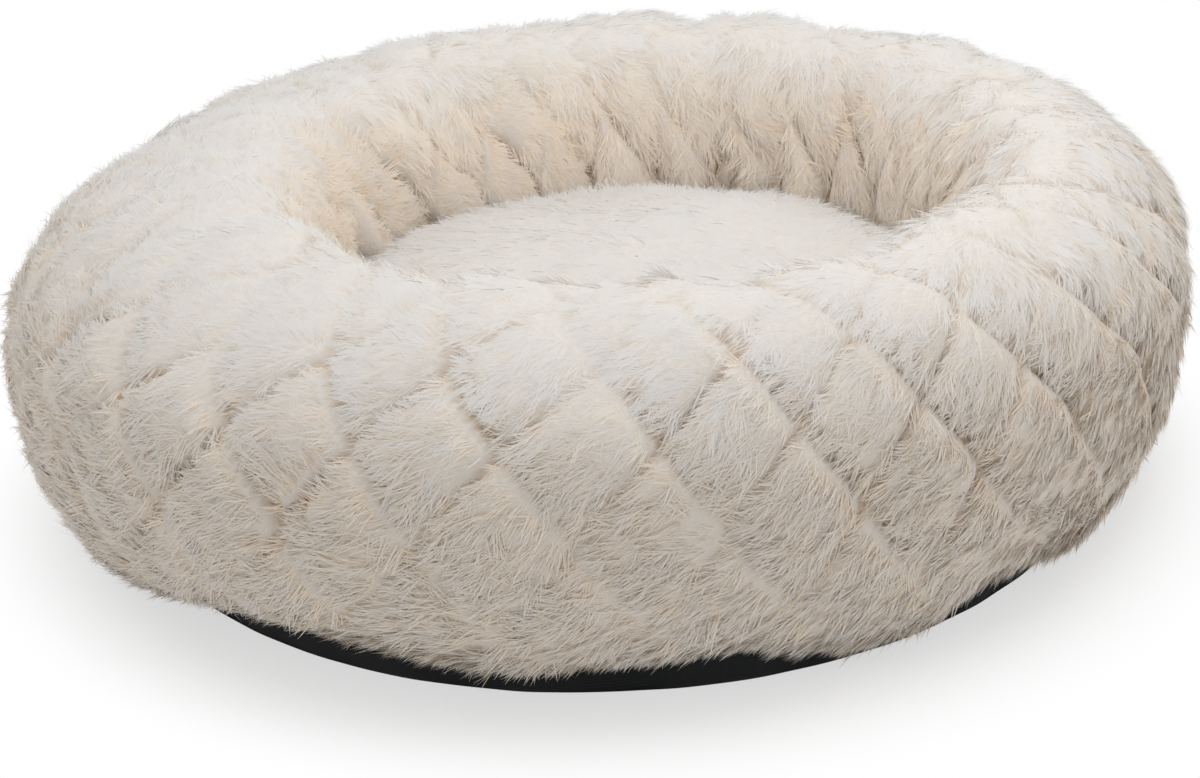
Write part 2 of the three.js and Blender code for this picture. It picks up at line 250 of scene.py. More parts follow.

# Colours: the darkest and the lightest of each material, and of the fur from its roots to its tips
# Painted shade: fur in the seams, folds and on the lower and inner walls, made warmer, with darker
# roots standing in for shade among strands
shaded_fur_colours = ((0.0, (0.76, 0.56, 0.38)), (0.3, (0.94, 0.79, 0.62)), (1.0, (0.99, 0.90, 0.78)))
# Painted light: fur on the lit top, its white kept dimmer than the warm tips, with darker roots
# standing in for shade among strands
lit_fur_colours = ((0.0, (0.70, 0.60, 0.48)), (0.3, (0.85, 0.82, 0.78)), (1.0, (0.885, 0.88, 0.875)))
skin_colours = ((0.85, 0.79, 0.71), (0.90, 0.88, 0.85))
# Painted shade of the skin in its seams and folds and on its lower and inner walls
seam_shade_colour = (0.60, 0.43, 0.27)
base_colours = ((0.003, 0.0035, 0.004), (0.014, 0.015, 0.017))
lining_colours = ((0.50, 0.43, 0.34), (0.78, 0.71, 0.61))
tape_colours = ((0.006, 0.0065, 0.008), (0.03, 0.032, 0.036))
teeth_colours = ((0.008, 0.0085, 0.01), (0.03, 0.031, 0.034))
metal_colours = ((0.10, 0.105, 0.115), (0.32, 0.33, 0.35))

# Threads and grain
base_thread = 0.7 * MM
lining_thread = 0.8 * MM
tape_thread = 0.35 * MM
grain_height = 0.1 * MM
tuft_height = 1 * MM

# Camera, as the outline of the bed in the photo fits it
camera_rise = math.radians(22.5)
camera_roll = math.radians(-2.27)
camera_distance = 1100 * MM
camera_nearest = 10 * MM
aim_height = 70 * MM
photo_width = 1200
photo_height = 778
focal_pixels = 2420
aim_pixel = (605, 308)
sensor_width = 36

# Light, and the floor that fades into the white background
top_level = 0.45
side_level = 0.8
key_energy = 3.0
key_size = 0.5
key_place = Vector((0.17, -0.06, 0.95))
floor_size = 6
floor_grey = 0.85
seen_floor_grey = 0.36
floor_lift = 0.61
fade_start = 0.232
fade_end = 0.295

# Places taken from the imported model
base_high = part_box("base_panel")[1]
well_low, well_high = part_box("well_floor_panel")
crown_low, crown_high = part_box("cushion_cover_top")
side_low, side_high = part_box("cushion_cover_base")
edge_radius = base_high.x
edge_height = base_high.z + seam_gap
wall_foot_height = well_high.z + seam_gap
throat_radius = outer_radius - bolster_width
ridge_radius = throat_radius + ridge_reach
nest_middle = (well_low + well_high) / 2
nest_radius = (well_high.x - well_low.x) / 2
shift_x = nest_middle.x
shift_y = nest_middle.y
cushion_middle = (crown_low + crown_high) / 2
cushion_radius = (crown_high.x - crown_low.x) / 2
cushion_seam_radius = (side_high.x - side_low.x) / 2


def smooth_step(low, high, value):
    """0 below low, 1 above high and smooth between them."""
    share = np.clip((value - low) / (high - low), 0, 1)
    return share * share * (3 - 2 * share)


def lattice_noise(x, y, columns, rows, seed):
    """Smooth noise from -1 to 1 that repeats after that many columns and rows."""
    grid = np.random.default_rng(seed).uniform(-1, 1, (columns, rows))
    column, row = np.floor(x).astype(int), np.floor(y).astype(int)
    right, up = x - column, y - row
    right = right * right * (3 - 2 * right)
    up = up * up * (3 - 2 * up)
    low = grid[column % columns, row % rows] * (1 - right)
    low += grid[(column + 1) % columns, row % rows] * right
    high = grid[column % columns, (row + 1) % rows] * (1 - right)
    high += grid[(column + 1) % columns, (row + 1) % rows] * right
    return low * (1 - up) + high * up


def round_noise(angle, along, columns, rows, seed):
    """Noise over a turn of the bed, with that many cells round it and for each step of along."""
    return lattice_noise(angle / TURN * columns, along * rows, columns, 8 * rows, seed)


def plan_noise(x, y, size, seed):
    """Noise over the plan of the bed, in cells of that size."""
    return lattice_noise(x / size + plan_shift, y / size + plan_shift, plan_cells, plan_cells, seed)


def crown_noise(x, y, scale, seed):
    """Noise over the crown of the cushion, which is 1 from its middle to the shoulder."""
    x = x * scale + crown_shift
    y = y * scale + crown_shift
    return lattice_noise(x, y, crown_cells, crown_cells, seed)


def off_zip(angle):
    """0 along the zip at the back and 1 away from it."""
    from_back = np.abs((angle - math.pi / 2 + math.pi) % TURN - math.pi)
    return smooth_step(0, zip_clearing, from_back - zip_half_angle)


# Shape of the ring

def outer_radius_at(angle):
    return outer_radius + oval_stretch * np.cos(2 * angle) + diagonal_stretch * np.sin(2 * angle)


def cubic(share, start, first, second, end):
    """A point of the cubic curve that leaves start towards first and reaches end from second."""
    rest = 1 - share
    ends = start * rest ** 3 + end * share ** 3
    return ends + 3 * rest * share * (first * rest + second * share)


def ring_point(angle, along, inset):
    """A point of the ring: along is 0 at its lower edge, 1 at the belly, 2 on the ridge, 3 at the
    throat and 4 at the foot of the inner wall. inset is how far it lies inside the pile's tips."""
    outer = outer_radius_at(angle) - inset
    crest = ring_height + side_rise * np.cos(angle) + back_rise * np.sin(angle) - inset
    seam = edge_radius - inset
    throat = throat_radius + inset
    turn = (along - 1) * math.pi / 2
    across, rise = np.cos(turn), np.sin(turn)
    down = np.clip(along - 3, 0, 1)
    stage = [along < 1, along < 2, along < 3]
    seam_height = edge_height + inset
    bulge_start = seam + lower_fullness_share * (outer - seam)
    bulge_end = belly_height - lower_fullness_share * (belly_height - seam_height)
    radius = np.select(stage, [
        cubic(along, seam, bulge_start, outer, outer),
        ridge_radius + (outer - ridge_radius) * across,
        ridge_radius + (ridge_radius - throat) * across,
    ], throat + wall_flare * down * down)
    height = np.select(stage, [
        cubic(along, seam_height, seam_height, bulge_end, belly_height),
        belly_height + (crest - belly_height) * rise,
        throat_height + (crest - throat_height) * rise,
    ], throat_height + (wall_foot_height - throat_height) * down)
    slide = np.clip((outer - radius) / (outer - ridge_radius), 0, 1)
    slide = np.where((height < belly_height) & (radius > ridge_radius), 0, slide)
    x = radius * np.cos(angle) + slide * shift_x
    y = radius * np.sin(angle) + slide * shift_y
    return np.stack([x, y, height + 0 * angle], -1)


def quilt_columns(angle, along):
    """Diamonds counted round the ring, with the small drift of a hand-fed cover."""
    uneven = pattern_drift * (1 + 1.6 * smooth_step(2, 3, along))
    drift = uneven * round_noise(angle, along, *pattern_noise)
    return diamond_count * angle / TURN + diamond_shift + drift


def quilt_lines(angle, along):
    """How far the place is from each family of stitched lines: 0 on a line, 1 halfway to the next."""
    column = quilt_columns(angle, along)
    row = np.interp(along, range(5), diamond_rows)
    return np.abs(np.sin(math.pi * (column + row))), np.abs(np.sin(math.pi * (column - row)))


def quilt_puff(angle, along):
    """0 on the stitching and 1 in the middle of each diamond."""
    rising, falling = quilt_lines(angle, along)
    return np.sqrt(rising * (1 - falling_share + falling_share * falling))


def stitching(angle, along):
    """1 on the stitching and 0 beside it. One family of lines is sewn less deep than the other."""
    rising, falling = quilt_lines(angle, along)
    patches = 0.75 + 0.55 * round_noise(angle, along, *stitch_noise)
    deep = 1 - smooth_step(0, seam_share, rising)
    faint = falling_share * (1 - smooth_step(0, seam_share, falling))
    return (1 - (1 - deep) * (1 - faint)) * patches


def calm(along):
    """How much of the quilting shows: less on the ridge and low on the wall, where the pile is full."""
    ridge = smooth_step(*ridge_start, along) * (1 - smooth_step(*ridge_end, along))
    return 1 - ridge_calm * ridge - lower_calm * (1 - smooth_step(*lower_span, along))


def lumps(angle, along):
    """How far the loose stuffing bulges, from -1 to 1. The lower wall is evenly filled."""
    coarse, fine = (round_noise(angle, along, *noise) for noise in lump_noises)
    return (0.7 * coarse + 0.3 * fine) * smooth_step(*lump_span, along)


def wall_gather(angle, along):
    """1 in the folds of the inner wall, where the cover is drawn in to a smaller circle."""
    drift = fold_drift * round_noise(angle, along, *fold_noise)
    valley = 1 - np.abs(np.cos(math.pi * (quilt_columns(angle, along) + drift))) ** 0.6
    uneven = 0.6 + 0.5 * round_noise(angle, along, *gather_noise)
    return valley * uneven * smooth_step(*gather_span, along)


def edge_sag(angle, along):
    """How far the stuffed cover hangs down round the base, apart from where the zip is."""
    turned = np.degrees((angle + math.pi) % TURN - math.pi)
    share = np.interp(turned, sag_turns, sag_shares)
    share = share + 0.12 * round_noise(angle, 0 * along, *sag_noise)
    hanging = smooth_step(*sag_start, along) * (1 - smooth_step(*sag_end, along))
    return sag_depth * share * hanging * off_zip(angle)


def ring_skin(angle, along):
    """The woven back that the fur grows from."""
    grown = smooth_step(*full_pile_span, along)
    under = edge_pile_height + (pile_height - edge_pile_height) * grown
    sewn = stitch_depth * stitching(angle, along) + puff_height * (1 - quilt_puff(angle, along))
    sewn = sewn * calm(along)
    sewn = sewn * (0.2 + 0.8 * smooth_step(*full_seam_span, along))
    under = under + sewn * smooth_step(*edge_span, along)
    under = under + lump_height * (0.4 - lumps(angle, along)) * smooth_step(*lump_span, along)
    under = under - throat_fullness * smooth_step(*throat_span, along)
    place = ring_point(angle, along, under + gather_depth * wall_gather(angle, along))
    place[..., 2] = place[..., 2] - edge_sag(angle, along)
    return place


# Shape of the cushion

def cushion_point(angle, along):
    """A point of the cushion: along is 0 at the foot, 1 at the side seam, 2 at the shoulder and 3 in
    the middle of the crown."""
    shoulder = cushion_radius - cushion_pile
    seam = cushion_seam_radius - cushion_pile
    foot = seam - cushion_foot_inset
    crown_height = crown_high.z - cushion_pile
    shoulder_height = crown_height - shoulder_drop
    out = np.clip(3 - along, 0, 1)
    turned = np.clip(2 - along, 0, 1)
    lower = np.clip(1 - along, 0, 1)
    lobes = lobe_depth * np.abs(np.sin(lobe_count / 2 * angle + lobe_turn)) - lobe_depth
    stage = [along > 2, along > 1]
    radius = np.select(stage, [
        shoulder * out,
        shoulder - (shoulder - seam) * turned * turned,
    ], seam - (seam - foot) * lower * lower)
    height = np.select(stage, [
        crown_height - shoulder_drop * out ** 3.2,
        shoulder_height - (shoulder_height - crown_low.z) * np.sin(turned * math.pi / 2) ** 0.9,
    ], crown_low.z + (side_low.z + seam_gap - crown_low.z) * np.sin(lower * math.pi / 2))
    radius = radius + lobes * smooth_step(*lobe_start, along) * (1 - smooth_step(*lobe_end, along))
    x = cushion_middle.x + radius * np.cos(angle)
    y = cushion_middle.y + radius * np.sin(angle)
    wave = plan_noise(x, y, wave_size, wave_seed)
    wave = wave + 0.5 * plan_noise(x, y, ripple_size, ripple_seed)
    height = height + (crown_wave * wave - crown_wave) * smooth_step(*wave_span, along)
    return np.stack([x, y, height], -1)


# Meshes

def add_object(name, mesh, material, body):
    piece = bpy.data.objects.new(name, mesh)
    bpy.context.scene.collection.objects.link(piece)
    mesh.materials.append(material)
    mesh.shade_smooth()
    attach(piece, body)
    return piece


def grid_mesh(name, points):
    """A mesh through a grid of points whose first direction closes on itself."""
    around, rows = points.shape[:2]
    this = np.arange(around)[:, None] * rows + np.arange(rows - 1)
    after = (np.arange(around)[:, None] + 1) % around * rows + np.arange(rows - 1)
    faces = np.stack([this, after, after + 1, this + 1], -1).reshape(-1, 4)
    mesh = bpy.data.meshes.new(name)
    mesh.from_pydata(points.reshape(-1, 3).tolist(), [], faces.tolist())
    mesh.update()
    return mesh


def swept(name, point_at, around, alongs):
    angle = np.arange(around)[:, None] * TURN / around
    return grid_mesh(name, point_at(angle + 0 * alongs, alongs + 0 * angle))


def store_seam_shade(mesh, around, alongs):
    """Stores the painted shade of each corner of the ring's skin, as how warm it is: most in the seams
    and folds, and a little on the lower and inner walls, as the fur there."""
    angle = np.arange(around)[:, None] * TURN / around + 0 * alongs
    along = alongs + 0 * angle
    seam = np.maximum(stitching(angle, along) * calm(along), wall_gather(angle, along))
    walls = 1 - smooth_step(*under_shade_span, along) + smooth_step(*inner_shade_span, along)
    seam = np.clip(np.maximum(seam, painted_wall_shade * walls), 0, 1)
    # The seam attribute holds this painted shade
    marks = mesh.attributes.new("seam", "FLOAT", "POINT")
    marks.data.foreach_set("value", seam.astype(np.float32).ravel())


# Fur

def unit(vectors):
    return vectors / np.maximum(np.linalg.norm(vectors, axis=-1, keepdims=True), 1e-9)


def frames_at(point_at, angle, along):
    """Where the surface is, its unit directions round and along, its outward normal, and how many
    metres a step of each parameter is."""
    step = 0.004
    place = point_at(angle, along)
    around = (point_at(angle + step, along) - point_at(angle - step, along)) / (2 * step)
    onward = (point_at(angle, along + step) - point_at(angle, along - step)) / (2 * step)
    sizes = np.linalg.norm(around, axis=-1), np.linalg.norm(onward, axis=-1)
    around = unit(around)
    onward = unit(onward)
    normal = unit(np.cross(around, onward))
    return place, around, onward, normal, sizes


def clump_centres(point_at, span, count, rng):
    """count places, spread evenly over the surface."""
    angle = rng.uniform(0, TURN, 8 * count)
    along = rng.uniform(*span, 8 * count)
    sizes = frames_at(point_at, angle, along)[4]
    area = sizes[0] * sizes[1]
    kept = rng.uniform(0, area.max(), 8 * count) < area
    return angle[kept][:count], along[kept][:count]


def by_clump(rng, spread, clumps):
    """A random number for each clump, given to each of its strands."""
    return np.repeat(rng.normal(0, spread, clumps), strands_in_clump)


def scatter_strands(coat, rng, count):
    """The angle and along of each strand, how far it stands from the middle of its clump each way,
    and the clump's own angle."""
    angle, along = clump_centres(coat["point_at"], coat["span"], count, rng)
    sizes = frames_at(coat["point_at"], angle, along)[4]
    shape = (len(angle), strands_in_clump)
    sideways, forward = rng.normal(0, clump_spread, (2, *shape))
    turn = angle[:, None] + sideways / np.maximum(sizes[0], least_round)[:, None]
    onward = np.clip(along[:, None] + forward / sizes[1][:, None], *coat["span"])
    home = np.repeat(angle, strands_in_clump)
    return turn.ravel(), onward.ravel(), sideways.reshape(-1, 1), forward.reshape(-1, 1), home


def lie_of_strands(mean, rounder, rng):
    """The direction of each strand along the surface: the mean one, turned by clump and by strand."""
    mean = unit(mean - rounder * (mean * rounder).sum(-1, keepdims=True))
    side = np.cross(rounder, mean)
    swing = by_clump(rng, clump_turn, len(mean) // strands_in_clump)
    swing = swing + rng.normal(0, strand_turn, len(mean))
    return mean * np.cos(swing)[:, None] + side * np.sin(swing)[:, None]


def bent_spine(root, lie, rounder, lifts, hang, length):
    """Each strand's points from its root: it leaves at its first lift and bends to its last."""
    start, end = lifts
    spine = [root]
    for step in range(strand_steps):
        lift = start + (end - start) * (step + 0.5) / strand_steps
        move = lie * np.cos(lift)[:, None] + rounder * np.sin(lift)[:, None]
        move = unit(move + hang * (step + 1) / strand_steps)
        spine.append(spine[-1] + move * (length / strand_steps)[:, None])
    return spine


def grow_strands(coat, rng, count):
    """The strands of a coat: the corners and normals of each, its tint and its clump's angle."""
    turn, onward, sideways, forward, home = scatter_strands(coat, rng, count)
    strands = len(turn)
    clumps = strands // strands_in_clump
    place, around, up, normal, place_sizes = frames_at(coat["point_at"], turn, onward)
    rounder = unit(frames_at(coat["form_at"], turn, onward)[3] * form_weight + normal)
    lie = lie_of_strands(coat["flow_at"](turn, onward, around, up), rounder, rng)
    clump_lift = by_clump(rng, clump_lift_spread, clumps)
    length = coat["length_at"](turn, onward) * rng.uniform(*length_range, strands)
    clear = coat["clear_at"](turn, onward, [
        (lie * around).sum(-1) * length / place_sizes[0],
        (lie * up).sum(-1) * length / place_sizes[1],
    ])
    length = length * (clear + (1 - clear) * rng.uniform(0, 2 * crossing_share, strands))
    start = coat["lift_at"](turn, onward) + clump_lift + rng.normal(0, strand_lift_spread, strands)
    end = start - coat["bend"] + rng.normal(0, strand_bend_spread, strands)
    pull = -(around * sideways + up * forward) * clump_pull
    curl = rng.normal(0, curl_spread, strands) * length
    hang = coat["hang_at"](turn, onward)
    spine = bent_spine(place - rounder * root_depth, lie, rounder, (start, end), hang, length)
    for step in range(1, strand_steps + 1):
        share = (step / strand_steps) ** pull_growth
        bow = np.cross(rounder, lie) * (curl * share)[:, None]
        spine[step] = spine[step] + pull * share + bow
    corners, normals = ribbon_corners(spine, rounder, coat, rng)
    tint = coat["tint_and_shade_at"](turn, onward, rng)
    return corners, normals, tint + by_clump(rng, clump_tint, clumps), home


def ribbon_corners(spine, normal, coat, rng):
    """Two corners at each step of the spine and one at its tip, twisted a little about it. Their
    normals lean towards the surface's own, so that the pile is lit as one soft coat."""
    count = len(normal)
    width = strand_width * coat["width_share"] * rng.uniform(*width_range, count)
    twist = rng.normal(0, twist_spread, count)
    corners, normals = [], []
    for step, share in enumerate(width_shares):
        ahead = unit(spine[step + 1] - spine[step])
        side = unit(np.cross(ahead, normal))
        face = np.cross(side, ahead)
        edge = side * np.cos(twist)[:, None] + face * np.sin(twist)[:, None]
        half = edge * (width * share / 2)[:, None]
        corners += [spine[step] - half, spine[step] + half]
        normals += [unit(face + normal * normal_softness)] * 2
    corners.append(spine[-1])
    normals.append(normals[-1])
    return np.stack(corners, 1), np.stack(normals, 1)


def strand_mesh(name, corners, tint):
    """A mesh of ribbons, with its map."""
    count = len(corners)
    loops = (np.arange(count)[:, None] * strand_corners + np.array(face_corners)).ravel()
    starts = (np.arange(count)[:, None] * len(face_corners) + np.array(face_starts)).ravel()
    mesh = bpy.data.meshes.new(name)
    mesh.vertices.add(count * strand_corners)
    mesh.vertices.foreach_set("co", corners.astype(np.float32).ravel())
    mesh.loops.add(count * len(face_corners))
    mesh.loops.foreach_set("vertex_index", loops.astype(np.int32))
    mesh.polygons.add(count * len(face_starts))
    mesh.polygons.foreach_set("loop_start", starts.astype(np.int32))
    mesh.update(calc_edges=True)
    across = np.array(corner_sides) * map_half_width
    height = np.array(corner_steps) / strand_steps
    across = np.clip(tint, 2 * map_half_width, 1 - 2 * map_half_width)[:, None] + across
    places = np.stack([across, 0 * across + height * map_height + map_foot], -1)
    layer = mesh.uv_layers.new(name="OFBake")
    layer.data.foreach_set("uv", places.astype(np.float32).ravel())
    return mesh


def ring_flow(angle, along, around, up):
    """The nap runs clockwise round the ring, turning down on its front right and on its walls."""
    fall = np.radians(38) - np.radians(34) * np.cos(angle + np.radians(130))
    outside = 1 - 2 * smooth_step(*nap_turn_span, along)
    coarse, fine = (round_noise(angle, along, *noise) for noise in nap_noises)
    lean = coarse * 0.75 + fine * 0.55
    heading = fall + lean * (0.7 + 0.5 * smooth_step(*nap_stir_span, along))
    flow = -around * np.cos(heading)[:, None] - up * (np.sin(heading) * outside)[:, None]
    step = 0.02
    slope_round = quilt_puff(angle + step, along) - quilt_puff(angle - step, along)
    slope_along = quilt_puff(angle, along + step * 3) - quilt_puff(angle, along - step * 3)
    burst = -around * slope_round[:, None] - up * slope_along[:, None]
    return flow - burst * seam_parting


def ring_length(angle, along):
    return strand_length * (1 - 0.35 * smooth_step(*short_span, along))


def ring_clear(angle, along, reach):
    """The share of its length that a strand keeps, so that it doesn't lie across the stitching."""
    kept = 1
    for share in (0, 0.35, 0.7, 1):
        onward = np.clip(along + reach[1] * share, 0, ring_end)
        crossed = stitching(angle + reach[0] * share, onward) * calm(onward)
        least = max(share, 0.4)
        kept = np.minimum(kept, 1 - (1 - least) * crossed)
    return kept


def ring_lift(angle, along):
    ridge = smooth_step(*lift_start, along) * (1 - smooth_step(*lift_end, along))
    return strand_lift + ridge_lift * ridge


def ring_hang(angle, along):
    """The fur hangs a little, and more where it covers the lower edge."""
    edge = 1 - smooth_step(*hang_span, along)
    return np.array([0, 0, -1]) * (0.06 + 0.25 * edge)[:, None]


def fringe_length_at(angle, along):
    """The fringe is longer in some places than in others, and short above the zip."""
    share = 0.9 + 0.2 * round_noise(angle, 0 * along, *fringe_noise)
    return fringe_length * share * (0.45 + 0.55 * off_zip(angle))


def fringe_hang(angle, along):
    out = np.stack([np.cos(angle), np.sin(angle), 0 * angle], -1)
    down = np.array([0, 0, -1])
    return (out * 0.2 + down) * (0.55 + 0 * angle)[:, None]


def no_hang(angle, along):
    return np.zeros((len(angle), 3))


def all_clear(angle, along, reach):
    return 1


def ring_tint_and_shade(angle, along, rng):
    """1 is the whitest strand and 0 the warmest. Apart from a little random unevenness, the warmth is
    painted shade: in the stitching and folds, on the lower outer wall, on the inner wall and most deep
    down it.
    """
    inner = smooth_step(*inner_shade_span, along)
    under = 1 - smooth_step(*under_shade_span, along)
    deep = smooth_step(*deep_shade_span, along)
    # Painted shade: warmer in the stitching, on the inner wall and on the lower outer wall
    tint = 1 - 0.8 * stitching(angle, along) * calm(along) - 0.72 * inner - 0.65 * under
    # Painted shade: warmer in the folds of the inner wall and deepest down it
    tint = tint - 0.4 * wall_gather(angle, along) - 0.3 * deep
    uneven = 0.06 * round_noise(angle, along, *tint_noise)
    return tint + uneven + rng.normal(0, 0.04, len(angle))


def cushion_flow(angle, along, around, up):
    """The nap of the crown runs to the left in soft swirls, and outwards and down at its rim."""
    x = np.cos(angle) * (3 - along)
    y = np.sin(angle) * (3 - along)
    coarse, fine = (crown_noise(x, y, *noise) for noise in zip(crown_scales, crown_seeds))
    heading = 0.8 * coarse + 0.5 * fine + np.radians(170)
    flat = np.stack([np.cos(heading), np.sin(heading), 0 * heading], -1)
    out = np.stack([np.cos(angle), np.sin(angle), 0 * angle], -1)
    rim = (1 - smooth_step(*outward_span, along))[:, None]
    side = (1 - smooth_step(*side_nap_span, along))[:, None]
    return flat * (1 - rim) + out * rim - up * side


def cushion_length(angle, along):
    """The fur is longer round the rim, where it fills the crevice beside the ring."""
    rim = smooth_step(*rim_start, along) * (1 - smooth_step(*rim_end, along))
    return cushion_fur_length + rim_fur_length * rim


def cushion_lift(angle, along):
    return strand_lift + 0 * angle


def cushion_tint_and_shade(angle, along, rng):
    # Painted shade: the side below the shoulder is warmer; the rest varies at random
    side = 1 - smooth_step(*side_shade_span, along)
    return 1 - 0.35 * side + rng.normal(0, 0.05, len(angle))


def ring_form(angle, along):
    return ring_point(angle, along, pile_height + 0 * angle)


def add_coat(coat, count, seed, sectors, material, body):
    """Grows a coat and adds it in sectors, each one a piece."""
    rng = np.random.default_rng(seed)
    count = count
    corners, normals, tint, home = grow_strands(coat, rng, count)
    sector = np.floor(home / TURN * sectors).astype(int) % sectors
    pieces = []
    for index in range(sectors):
        name = f"{coat['name']}_{index + 1:02d}"
        chosen = sector == index
        mesh = strand_mesh(name, corners[chosen], tint[chosen])
        piece = add_object(name, mesh, material, body)
        mesh.normals_split_custom_set_from_vertices(normals[chosen].reshape(-1, 3))
        piece.visible_shadow = False
        pieces.append(piece)
    return pieces


# Materials

def new_material(name, roughness, specular=0.3, sheen=0.0):
    material = bpy.data.materials.new(name)
    material.use_nodes = True
    shader = material.node_tree.nodes["Principled BSDF"]
    shader.inputs["Roughness"].default_value = roughness
    shader.inputs["Specular IOR Level"].default_value = specular
    shader.inputs["Sheen Weight"].default_value = sheen
    return material, material.node_tree, shader


def node(tree, kind, **values):
    """A new node with the values of its inputs, where a name has _ for a space, or of its own."""
    made = tree.nodes.new(kind)
    for name, value in values.items():
        title = name.replace("_", " ")
        if title in made.inputs:
            made.inputs[title].default_value = value
        else:
            setattr(made, name, value)
    return made


def ramp(tree, factor, stops):
    """Colours at their places from 0 to 1."""
    stops = list(stops)
    made = tree.nodes.new("ShaderNodeValToRGB")
    tree.links.new(factor, made.inputs[0])
    while len(made.color_ramp.elements) < len(stops):
        made.color_ramp.elements.new(0.5)
    for element, (place, colour) in zip(made.color_ramp.elements, stops):
        element.position = place
        element.color = (*colour, 1)
    return made.outputs[0]


def mix_colours(tree, factor, first, second):
    made = node(tree, "ShaderNodeMix", data_type="RGBA")
    tree.links.new(factor, made.inputs[0])
    tree.links.new(first, made.inputs[6])
    tree.links.new(second, made.inputs[7])
    return made.outputs[2]


def fur_material():
    """White tips over warm roots; the darker roots are painted shade among strands that cast no
    shadows. The map's across is the strand's tint and its up is the height.
    """
    material, tree, shader = new_material("ivory_fur", roughness=0.75, specular=0.15, sheen=0.15)
    place = node(tree, "ShaderNodeUVMap", uv_map="OFBake")
    parts = node(tree, "ShaderNodeSeparateXYZ")
    tree.links.new(place.outputs[0], parts.inputs[0])
    # Painted shade: the warm ramp is the fur where shade falls
    warm = ramp(tree, parts.outputs[1], shaded_fur_colours)
    # Painted light: the white ramp is the fur of the lit top, kept dimmer
    white = ramp(tree, parts.outputs[1], lit_fur_colours)
    lit_share = node(tree, "ShaderNodeMapRange")
    lit_share.inputs["From Max"].default_value = white_from
    tree.links.new(parts.outputs[0], lit_share.inputs["Value"])
    colour = mix_colours(tree, lit_share.outputs[0], warm, white)
    tree.links.new(colour, shader.inputs["Base Color"])
    return material


def bump(tree, height, shader, strength, distance):
    made = node(tree, "ShaderNodeBump", Strength=strength, Distance=distance)
    tree.links.new(height, made.inputs["Height"])
    tree.links.new(made.outputs[0], shader.inputs["Normal"])


def weave(tree, pitch):
    """The height of a plain weave whose threads are pitch apart."""
    place = node(tree, "ShaderNodeTexCoord")
    threads = []
    for axis in ("X", "Y"):
        wave = node(tree, "ShaderNodeTexWave", Scale=1 / pitch / TURN * math.pi, Distortion=0.4)
        wave.bands_direction = axis
        tree.links.new(place.outputs["Object"], wave.inputs["Vector"])
        threads.append(wave.outputs["Fac"])
    both = node(tree, "ShaderNodeMath", operation="MULTIPLY")
    tree.links.new(threads[0], both.inputs[0])
    tree.links.new(threads[1], both.inputs[1])
    return both.outputs[0]


def cloth_material(name, colours, pitch, roughness=0.85, sheen=0.2):
    """Woven cloth between two colours, with slubs and a faint unevenness."""
    material, tree, shader = new_material(name, roughness, specular=0.25, sheen=sheen)
    height = weave(tree, pitch)
    place = node(tree, "ShaderNodeTexCoord")
    patches = node(tree, "ShaderNodeTexNoise", Scale=45.0, Detail=5.0)
    tree.links.new(place.outputs["Object"], patches.inputs["Vector"])
    blend = node(tree, "ShaderNodeMath", operation="MULTIPLY_ADD")
    tree.links.new(patches.outputs["Fac"], blend.inputs[0])
    blend.inputs[1].default_value = 0.6
    tree.links.new(height, blend.inputs[2])
    colour = ramp(tree, blend.outputs[0], zip((0.1, 1.0), colours))
    tree.links.new(colour, shader.inputs["Base Color"])
    bump(tree, height, shader, strength=0.5, distance=pitch / 3)
    return material


def metal_material(name, colours, roughness):
    """Plated metal, worn lighter in patches and scuffed."""
    material, tree, shader = new_material(name, roughness, specular=0.5)
    shader.inputs["Metallic"].default_value = 1
    place = node(tree, "ShaderNodeTexCoord")
    scuffs = node(tree, "ShaderNodeTexNoise", Scale=900.0, Detail=6.0)
    tree.links.new(place.outputs["Object"], scuffs.inputs["Vector"])
    colour = ramp(tree, scuffs.outputs["Fac"], zip((0.35, 0.7), colours))
    tree.links.new(colour, shader.inputs["Base Color"])
    bump(tree, scuffs.outputs["Fac"], shader, strength=0.15, distance=grain_height)
    return material


def short_pile_material(name, colours, sewn):
    """The dense short pile at the roots of the fur, between two colours, and another, painted shade, in
    its seams and folds and on its lower and inner walls.
    """
    material, tree, shader = new_material(name, roughness=0.9, specular=0.1, sheen=0.2)
    place = node(tree, "ShaderNodeTexCoord")
    tufts = node(tree, "ShaderNodeTexNoise", Scale=420.0, Detail=4.0, Roughness=0.7)
    tree.links.new(place.outputs["Object"], tufts.inputs["Vector"])
    colour = ramp(tree, tufts.outputs["Fac"], zip((0.3, 0.65), colours))
    # Painted shade: the seam attribute turns the pile to the seam colour
    shade_amount = node(tree, "ShaderNodeAttribute", attribute_name="seam")
    seams = node(tree, "ShaderNodeMix", data_type="RGBA")
    tree.links.new(shade_amount.outputs["Fac"], seams.inputs[0])
    tree.links.new(colour, seams.inputs[6])
    seams.inputs[7].default_value = (*sewn, 1)
    tree.links.new(seams.outputs[2], shader.inputs["Base Color"])
    bump(tree, tufts.outputs["Fac"], shader, strength=0.6, distance=tuft_height)
    return material


def paint_node(name, material):
    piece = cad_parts[name]
    piece.data.materials.clear()
    piece.data.materials.append(material)


# Base

def base_outline():
    """Radius and height of the base cloth: under the bed, up the rim and a little way in."""
    floor_radius = edge_radius - rim_lean
    upper_inset, top_inset = rim_insets
    return [
        base_middle,
        (floor_radius * 0.4, base_dip),
        (floor_radius * 0.8, 0),
        (floor_radius - 2 * base_fold, 0),
        (floor_radius - base_fold / 2, base_fold / 4),
        (floor_radius, base_fold),
        (floor_radius + rim_lean / 2, base_high.z / 2),
        (edge_radius - upper_inset, base_high.z - base_fold),
        (edge_radius - top_inset, base_high.z),
        (edge_radius - base_fold, base_high.z - base_dip),
        (edge_radius - 2 * base_fold, base_high.z - 2 * base_fold),
    ]


